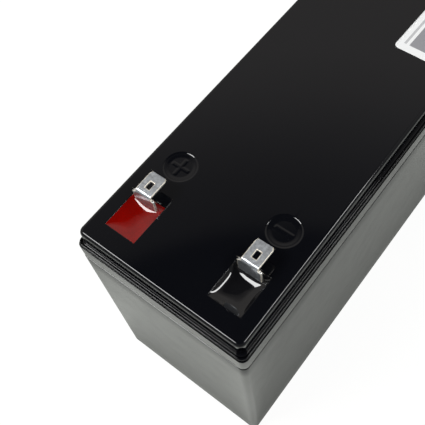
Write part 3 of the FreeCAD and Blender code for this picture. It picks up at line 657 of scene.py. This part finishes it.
def build_potting_piece(name, side, settings):
    """Resin in one pocket.

    Between two opposite walls a wetting liquid hangs as a hyperbolic cosine. The surface sinks by the dip
    times one less that curve across, times one less that curve along, times one less a parabola of the
    distance before or behind the tab, so that it stands high at every wall and at the tab. Along the near
    edge two bell curves, each with its place and width as shares of the pocket, carry it over the lip.
    """
    red = side == "positive"
    low, high = POCKETS[side]
    tab_low, tab_high = TABS[side]
    half_foot = settings_of("tab").shoulder_width / 2
    middle = (tab_low.x + tab_high.x) / 2
    front = tab_low.y
    rear = front + settings_of("tab").thickness
    lap = 0.05 * MM
    x = np.concatenate([eased(34, low.x - lap, middle - half_foot),
                        eased(40, middle - half_foot, middle + half_foot)[1:],
                        eased(34, middle + half_foot, high.x + lap)[1:]])
    y = np.concatenate([eased(70, low.y - lap, front), [rear], eased(24, rear, high.y + lap)[1:]])
    gx, gy = np.meshgrid(x, y, indexing="ij")
    dy = np.maximum(np.maximum(front - gy, gy - rear), 0)
    near = np.clip(1 - dy / settings.slope_run, 0, 1) ** 2
    side_wet = (settings.red_wetting if red else settings.black_wetting) * (1 - 0.35 * near)
    end_wet = settings.wetting
    half_x, half_y = (high.x - low.x) / 2, (high.y - low.y) / 2
    across = np.cosh((gx - (low.x + high.x) / 2) / side_wet) / np.cosh(half_x / side_wet)
    along = np.cosh((gy - (low.y + high.y) / 2) / end_wet) / np.cosh(half_y / end_wet)
    dip = settings.red_dip if red else settings.black_dip
    sunk = dip * np.clip(1 - across, 0, 1) * np.clip(1 - along, 0, 1) * (1 - settings.tab_share * near)
    level = np.clip(1 - across, 0, 1) ** 0.5
    z = LID_TOP - settings.edge_drop - sunk + (settings.climb + settings.edge_drop) * near ** 3 * level
    part = (gx - low.x) / (high.x - low.x)
    run = sum(size * np.exp(-((part - place) / width) ** 2)
              for place, width, size in ((0.64, 0.1, 1.0), (0.4, 0.07, 0.45)))
    run *= 0.35 if red else 1.0
    spread = np.clip(1 - (gy - low.y) / (1.2 * MM), 0, 1) ** 2 * run
    z = z + spread * (settings.edge_drop + 0.05 * MM)
    top = np.stack([gx, gy - settings.creep * spread, z], -1)
    bottom = np.stack([gx, gy, np.full_like(gx, low.z + lap)], -1)
    in_x, in_y = middles(x), middles(y)
    hole = np.logical_and.outer(np.abs(in_x - middle) < half_foot, (in_y > front) & (in_y < rear))
    return closed_field(name, top, bottom, ~hole)


def build_tab_piece(name, side, settings):
    """Tab as one strip carried along a path: up from the shank, round the bend and level to the tip.

    The strip's half width is a function of the distance along the path, with a quarter circle at the
    shoulders and at the tip, and both faces lie half a thickness to either side of the path.
    """
    low, high = TABS[side]
    middle = (low.x + high.x) / 2
    t = settings.thickness
    bend = settings.bend_radius + t / 2
    foot_z = POCKETS[side][0].z
    bend_z = high.z - t - settings.bend_radius
    rise = bend_z - low.z
    turn = bend * math.pi / 2
    reach = high.y - (low.y + t / 2) - bend
    total = rise + turn + reach
    blade, foot, shank = settings.blade_width / 2, settings.shoulder_width / 2, settings.shank_width / 2
    step, soft = WIDTH_STEP, SHOULDER_ROUND
    ledge = foot_z - low.z
    hole_start = rise + turn + (settings.hole_centre - settings.hole_length / 2) - (t / 2 + bend)
    hole_end = hole_start + settings.hole_length
    corner = settings.corner_radius
    arc = np.sin(np.linspace(0, np.pi / 2, 9))
    s = np.concatenate([[0, ledge - step, ledge], rise - soft + soft * arc, [rise + step],
                        rise + step + (turn - 2 * step) * np.linspace(0.08, 1, 14),
                        [hole_start, hole_end], total - corner + corner * arc])
    tip = np.clip((s - (total - corner)) / corner, 0, 1)
    shoulder = np.clip((s - (rise - soft)) / soft, 0, 1)
    half = np.where(s < ledge - step / 2, shank, foot - soft * (1 - np.sqrt(1 - shoulder ** 2)))
    half = np.where(s > rise, blade - corner * (1 - np.sqrt(1 - tip ** 2)), half)
    across = np.concatenate([np.linspace(-blade, -settings.hole_width / 2, 5),
                             np.linspace(settings.hole_width / 2, blade, 5)]) / blade
    angle = np.clip((s - rise) / bend, 0, np.pi / 2)
    level = np.clip(s - rise - turn, 0, None)
    y = low.y + t / 2 + bend * (1 - np.cos(angle)) + level
    z = low.z + np.minimum(s, rise) + bend * np.sin(angle)
    normal = np.stack([np.zeros_like(s), -np.cos(angle), np.sin(angle)], -1)
    x = middle + across[:, None] * half[None, :]
    path = np.stack([x, np.broadcast_to(y, x.shape), np.broadcast_to(z, x.shape)], -1)
    top, bottom = path + normal * t / 2, path - normal * t / 2
    in_x, in_s = middles(across) * blade, middles(s)
    hole = np.logical_and.outer(np.abs(in_x) < settings.hole_width / 2,
                                (in_s > hole_start) & (in_s < hole_end))
    return closed_field(name, top, bottom, ~hole)


def build_label_piece(name, settings):
    """Label sheet with rounded corners, its half width a function of the distance along it.

    It lies on the lid and lifts by a hair at its free corners, by the fourth power of the distance out.
    Its UV map is the flat sheet in mm, the same on the upper and the lower face.
    """
    r = settings.corner
    half_x, half_y = settings.width / 2, settings.height / 2
    arc = np.sin(np.linspace(0, np.pi / 2, 8))
    v = np.concatenate([-half_y + r - r * arc[::-1], np.linspace(-half_y + r, half_y - r, 30)[1:-1],
                        half_y - r + r * arc])
    over = np.clip((np.abs(v) - (half_y - r)) / r, 0, 1)
    half = half_x - r * (1 - np.sqrt(1 - over ** 2))
    t = np.linspace(-1, 1, 25)
    gx = t[:, None] * half[None, :]
    gy = np.broadcast_to(v, gx.shape)
    lift = LABEL_LIFT * np.abs(gx / half_x) ** 4 * np.abs(gy / half_y) ** 4
    cos, sin = math.cos(settings.turn), math.sin(settings.turn)
    px, py = gx + half_x, gy + half_y
    corner_x, corner_y = label_corner(settings)
    x = corner_x + px * cos - py * sin
    y = corner_y + px * sin + py * cos
    z0 = LABEL_LOW.z + 0.005 * MM
    top = np.stack([x, y, z0 + LABEL_SHEET + lift], -1)
    bottom = np.stack([x, y, z0 + lift * 0.5], -1)
    made = closed_field(name, top, bottom, np.ones((gx.shape[0] - 1, gx.shape[1] - 1), bool))
    flat = np.stack([px, py], -1).reshape(-1, 2) / MM
    loops = np.empty(len(made.data.loops), int)
    made.data.loops.foreach_get("vertex_index", loops)
    uv = made.data.uv_layers.new(name="label_mm")
    uv.data.foreach_set("uv", np.concatenate([flat, flat])[loops].ravel())
    return made


def label_corner(settings):
    """Corner that the label is turned about, found from the CAD label's box."""
    return LABEL_LOW.x, LABEL_HIGH.y - settings.height * math.cos(settings.turn) - 0.02 * MM


def settings_of(name):
    """Settings of one group, by its name without the prefix."""
    return getattr(bpy.context.scene, "battery_" + name)


# Operators


class BATTERY_OT_stage(bpy.types.Operator):
    """Sets the camera, the soft boxes, the surroundings and the floor"""
    bl_idname = "battery.stage"
    bl_label = "Stage"

    def execute(self, context):
        scene = context.scene
        settings = scene.battery_stage
        scene.view_settings.view_transform = "Standard"
        add_camera(scene, settings)
        add_floor(settings)
        add_world(scene)
        key, long_side, tall = settings.key_radiance, settings.box_width, settings.box_height
        add_soft_box("key_left", (-38, 52), key, long_side, tall)
        add_soft_box("key_right", (114, 46), key, long_side * 0.85, tall * 0.75)
        fill, side = settings.fill_box, settings.fill_box * 0.7
        add_soft_box("fill", (-60, 62), settings.fill_radiance, fill, fill, glossy=False)
        add_soft_box("side", (100, 50), settings.side_radiance, side, side, glossy=False)
        return {"FINISHED"}


def direction(azimuth, elevation):
    """Unit vector with azimuth 0 at -Y and 90 at +X."""
    a, e = math.radians(azimuth), math.radians(elevation)
    return Vector((math.sin(a) * math.cos(e), -math.cos(a) * math.cos(e), math.sin(e)))


def add_camera(scene, settings):
    """Camera at its solved place, which looks against its direction and is rolled about that line."""
    camera = bpy.data.objects.new("camera", bpy.data.cameras.new("camera"))
    scene.collection.objects.link(camera)
    camera.data.lens = settings.focal_length
    camera.data.sensor_width = SENSOR_WIDTH
    camera.data.clip_start = 0.01
    camera.data.clip_end = 20
    azimuth, roll = math.radians(CAMERA_AZIMUTH), math.radians(CAMERA_ROLL)
    back = direction(CAMERA_AZIMUTH, CAMERA_ELEVATION)
    right = Vector((math.cos(azimuth), math.sin(azimuth), 0))
    up = back.cross(right)
    turned = right * math.cos(roll) + up * math.sin(roll)
    upright = up * math.cos(roll) - right * math.sin(roll)
    place = Matrix((turned, upright, back)).transposed().to_4x4()
    place.translation = Vector(CAMERA_PLACE_MM) * MM
    camera.matrix_world = place
    scene.camera = camera


def add_floor(settings):
    """Pale table: white to the camera away from the battery, with the battery's soft shadow.

    What the battery mirrors of it carries painted shade, darker close to the case and darker again far away,
    by the distance from the case, which is the length of what lies outside the case's half sizes along X and
    Y.
    """
    half = 3.0
    mesh = bpy.data.meshes.new("floor")
    mesh.from_pydata([(-half, -half, 0), (half, -half, 0), (half, half, 0), (-half, half, 0)], [],
                     [(0, 1, 2, 3)])
    floor = bpy.data.objects.new("floor", mesh)
    bpy.context.scene.collection.objects.link(floor)
    made = bpy.data.materials.new("painted table top")
    tree = empty_tree(made)
    camera_ray = node(tree, "ShaderNodeLightPath").outputs["Is Camera Ray"]
    outward = node(tree, "ShaderNodeNewGeometry").outputs["Position"]
    for operation, other in (("ABSOLUTE", (0, 0, 0)), ("SUBTRACT", (CASE_HIGH.x, CASE_HIGH.y, 0)),
                             ("MAXIMUM", (0, 0, 0))):
        step = node(tree, "ShaderNodeVectorMath", {0: outward, 1: other}, operation=operation)
        outward = step.outputs["Vector"]
    away = node(tree, "ShaderNodeVectorMath", {0: outward}, operation="LENGTH").outputs["Value"]
    # Painted shade: for all but camera rays, the floor's colour is darker at the case's foot and far from it
    lit = grey_ramp(tree, away, ((0.0, 0.68), (0.006, 0.9), (0.014, 1.0), (0.05, 0.72), (0.4, 0.62),
                                 (1.0, 0.35)))
    tone = mixed(tree, 1.0, mixed(tree, camera_ray, lit, WHITE), settings.floor, "MULTIPLY")
    matt = node(tree, "ShaderNodeBsdfDiffuse", {"Color": tone})
    bright = node(tree, "ShaderNodeEmission", {"Color": WHITE, "Strength": 1.08})
    glow = worked(tree, "MULTIPLY", camera_ray, 0.85)
    both = node(tree, "ShaderNodeMixShader", {"Fac": glow, 1: matt.outputs["BSDF"],
                                              2: bright.outputs["Emission"]})
    node(tree, "ShaderNodeOutputMaterial", {"Surface": both.outputs["Shader"]})
    floor.data.materials.append(made)


def add_world(scene):
    """Dark studio that is white to the camera.

    What a glossy face sees goes by height, and is brighter on the side where the far wall of the room lies
    than on the near side.
    """
    scene.world = bpy.data.worlds.new("room")
    tree = empty_tree(scene.world)
    toward = node(tree, "ShaderNodeTexCoord").outputs["Generated"]
    height = node(tree, "ShaderNodeSeparateXYZ", {"Vector": toward}).outputs["Z"]
    facing = node(tree, "ShaderNodeVectorMath", {0: toward, 1: direction(FAR_WALL_AZIMUTH, 0)},
                  operation="DOT_PRODUCT").outputs["Value"]
    side = ranged(tree, facing, 0.0, 1.0, -0.25, 0.25)
    far = grey_ramp(tree, height, ((0.0, 0.3), (0.3, 0.32), (0.73, 0.36), (0.765, 0.31), (0.79, 0.25),
                                   (0.815, 0.19), (0.84, 0.14), (0.872, 0.1), (0.885, 0.012)), 0.9)
    near = grey_ramp(tree, height, ((0.0, 0.12), (0.4, 0.2), (0.7, 0.12), (0.88, 0.012)))

    def background(shade, strength):
        made = node(tree, "ShaderNodeBackground", {"Color": shade, "Strength": strength})
        return made.outputs["Background"]

    path = node(tree, "ShaderNodeLightPath").outputs
    mirrored = worked(tree, "MAXIMUM", path["Is Glossy Ray"], path["Is Transmission Ray"])
    lit = node(tree, "ShaderNodeMixShader", {"Fac": mirrored, 1: background(WHITE, 0.25),
                                             2: background(mixed(tree, side, near, far), 1.0)})
    seen = node(tree, "ShaderNodeMixShader", {"Fac": path["Is Camera Ray"], 1: lit.outputs["Shader"],
                                              2: background(WHITE, 1.0)})
    node(tree, "ShaderNodeOutputWorld", {"Surface": seen.outputs["Shader"]})


def grey_ramp(tree, value, stops, warmth=1.0):
    """Grey by a height or a distance, from stops of (place, grey), with its blue times the warmth."""
    ramp = node(tree, "ShaderNodeValToRGB", {"Fac": value})
    elements = ramp.color_ramp.elements
    for index, (place, grey) in enumerate(stops):
        element = elements[index] if index < 2 else elements.new(place)
        element.position = place
        element.color = (grey, grey * (1 + warmth) / 2, grey * warmth, 1)
    return ramp.outputs["Color"]


def add_soft_box(name, place, radiance, width, height, glossy=True):
    """Rectangular lamp that looks as bright as given, from place, its azimuth and elevation in degrees."""
    lamp = bpy.data.lights.new(name, "AREA")
    lamp.shape = "RECTANGLE"
    lamp.size = width
    lamp.size_y = height
    lamp.energy = radiance * math.pi * width * height
    made = bpy.data.objects.new(name, lamp)
    bpy.context.scene.collection.objects.link(made)
    back = direction(*place)
    aim, distance = Vector((0, 0, 70 * MM)), 750 * MM
    made.location = aim + back * distance
    made.rotation_mode = "QUATERNION"
    made.rotation_quaternion = (-back).to_track_quat("-Z", "Y")
    made.visible_glossy = glossy


class BATTERY_OT_shell(bpy.types.Operator):
    """Moulds the case and the lid"""
    bl_idname = "battery.shell"
    bl_label = "Case and lid"

    def execute(self, context):
        s = context.scene.battery_shell
        sink, depth = s.sink_size / MM, s.sink_depth / MM
        lid = build_lid_piece("moulded_lid", context.scene.battery_lid)
        give(lid, moulded_abs("black ABS, polished mould", s.resin, s.lid_roughness, sink, depth))
        fitted(lid, "lid", "lid")
        case = build_case_piece("moulded_case", context.scene.battery_case)
        give(case, moulded_abs("black ABS, satin mould", s.resin, s.case_roughness, sink, depth))
        fitted(case, "case", "case")
        return {"FINISHED"}


class BATTERY_OT_potting(bpy.types.Operator):
    """Pours the resin round both tabs"""
    bl_idname = "battery.potting"
    bl_label = "Potting"

    def execute(self, context):
        s = context.scene.battery_potting
        for side, tint, base, cloud in (("positive", "red", s.red, 0.8), ("negative", "black", s.black, 1.3)):
            made = build_potting_piece(f"resin_{side}", side, s)
            give(made, cast_resin(f"{tint} epoxy, poured", base, shades(base, cloud)))
            fitted(made, f"potting_{tint}", f"potting_{side}")
        return {"FINISHED"}


class BATTERY_OT_tabs(bpy.types.Operator):
    """Stamps and bends both tabs"""
    bl_idname = "battery.tabs"
    bl_label = "Tabs"

    def execute(self, context):
        s = context.scene.battery_tab
        bend_y = TABS["negative"][0].y + s.thickness + s.bend_radius
        finish = tinned_brass("brass strip, stamped and tin plated", s.plating, bend_y)
        # Painted highlight: the rounded edges get a pale, barely metallic finish that draws a bright outline
        # round each tab
        painted_edge_highlight = plain_finish("tin plated edge, painted highlight", s.edge, 0.34, 0.5, 0.002, 0.25)
        for side in TABS:
            made = rounded(build_tab_piece(f"tab_{side}", side, s), s.edge_round)
            give(made, finish)
            made.data.materials.append(painted_edge_highlight)
            made.modifiers["edge rounding"].material = 1
            fitted(made, "tab", f"terminal_{side}")
        return {"FINISHED"}


class BATTERY_OT_label(bpy.types.Operator):
    """Sticks the label on the lid"""
    bl_idname = "battery.label"
    bl_label = "Label"

    def execute(self, context):
        s = context.scene.battery_label
        made = build_label_piece("label_sheet", s)
        give(made, coated_paper("coated paper, thermal printed", s.paper, s.ink))
        fitted(made, "label", "label")
        return {"FINISHED"}


class BATTERY_OT_inside(bpy.types.Operator):
    """Gives the sealed inner pieces their finishes"""
    bl_idname = "battery.inside"
    bl_label = "Inside"

    def execute(self, context):
        s = context.scene.battery_inside
        finishes = {
            "cell_sleeve": ("PVC sleeve, shrunk", s.sleeve, 0.3, 6.0, 0.02),
            "holder": ("ABS, moulded matt", linear("#3a3a3c"), 0.55, 0.6, 0.02),
            "nickel": ("nickel strip, rolled", linear("#c9c6bf"), 0.32, 0.4, 0.005, 1.0),
            "foam": ("EVA foam, cut", s.foam, 0.92, 0.8, 0.15),
            "sheet": ("fish paper, pressed", linear("#9fb08f"), 0.7, 1.2, 0.02),
            "tape": ("foam tape, cut", linear("#dcdcd4"), 0.85, 0.6, 0.08),
            "board": ("glass epoxy, solder mask", s.mask, 0.3, 1.5, 0.01),
            "chip": ("epoxy moulding compound", linear("#2b2b2d"), 0.6, 0.3, 0.01),
            "shunt": ("manganin, punched", linear("#a5917f"), 0.35, 0.4, 0.005, 1.0),
            "resistor": ("alumina chip, fired", linear("#333338"), 0.4, 0.4, 0.01),
            "connector": ("nylon, moulded", linear("#e6e3d6"), 0.5, 1.0, 0.01),
            "lead_red": ("red silicone, extruded", linear("#b01c20"), 0.5, 1.0, 0.01),
            "lead_black": ("black silicone, extruded", linear("#26262a"), 0.5, 1.0, 0.01),
            "wire": ("PVC, extruded", linear("#3a3a44"), 0.4, 0.8, 0.01),
        }
        made = {slot: plain_finish(*values) for slot, values in finishes.items()}
        for row in frame["record"]["subparts"]:
            if row["material_slot"] in made:
                give(frame["nodes"][row["node"]], made[row["material_slot"]])
        return {"FINISHED"}


class BATTERY_PT_panel(bpy.types.Panel):
    """Lists the steps that dress the battery"""
    bl_idname = "BATTERY_PT_panel"
    bl_label = "Block battery"
    bl_space_type = "VIEW_3D"
    bl_region_type = "UI"
    bl_category = "Battery"

    def draw(self, context):
        for step in STEPS:
            self.layout.operator(step.bl_idname)


STEPS = (BATTERY_OT_shell, BATTERY_OT_potting, BATTERY_OT_tabs, BATTERY_OT_label, BATTERY_OT_inside,
         BATTERY_OT_stage)
GROUPS = {
    "battery_shell": BatteryShellSettings,
    "battery_lid": BatteryLidSettings,
    "battery_case": BatteryCaseSettings,
    "battery_potting": BatteryPottingSettings,
    "battery_tab": BatteryTabSettings,
    "battery_label": BatteryLabelSettings,
    "battery_inside": BatteryInsideSettings,
    "battery_stage": BatteryStageSettings,
}


def register():
    for name, group in GROUPS.items():
        bpy.utils.register_class(group)
        setattr(bpy.types.Scene, name, PointerProperty(type=group))
    for made in (*STEPS, BATTERY_PT_panel):
        bpy.utils.register_class(made)


def unregister():
    for made in (BATTERY_PT_panel, *reversed(STEPS)):
        bpy.utils.unregister_class(made)
    for name, group in GROUPS.items():
        delattr(bpy.types.Scene, name)
        bpy.utils.unregister_class(group)


def main():
    """Runs every step in order."""
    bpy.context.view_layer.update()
    register()
    for step in STEPS:
        group, call = step.bl_idname.split(".")
        getattr(getattr(bpy.ops, group), call)()


if __name__ == "__main__":
    main()
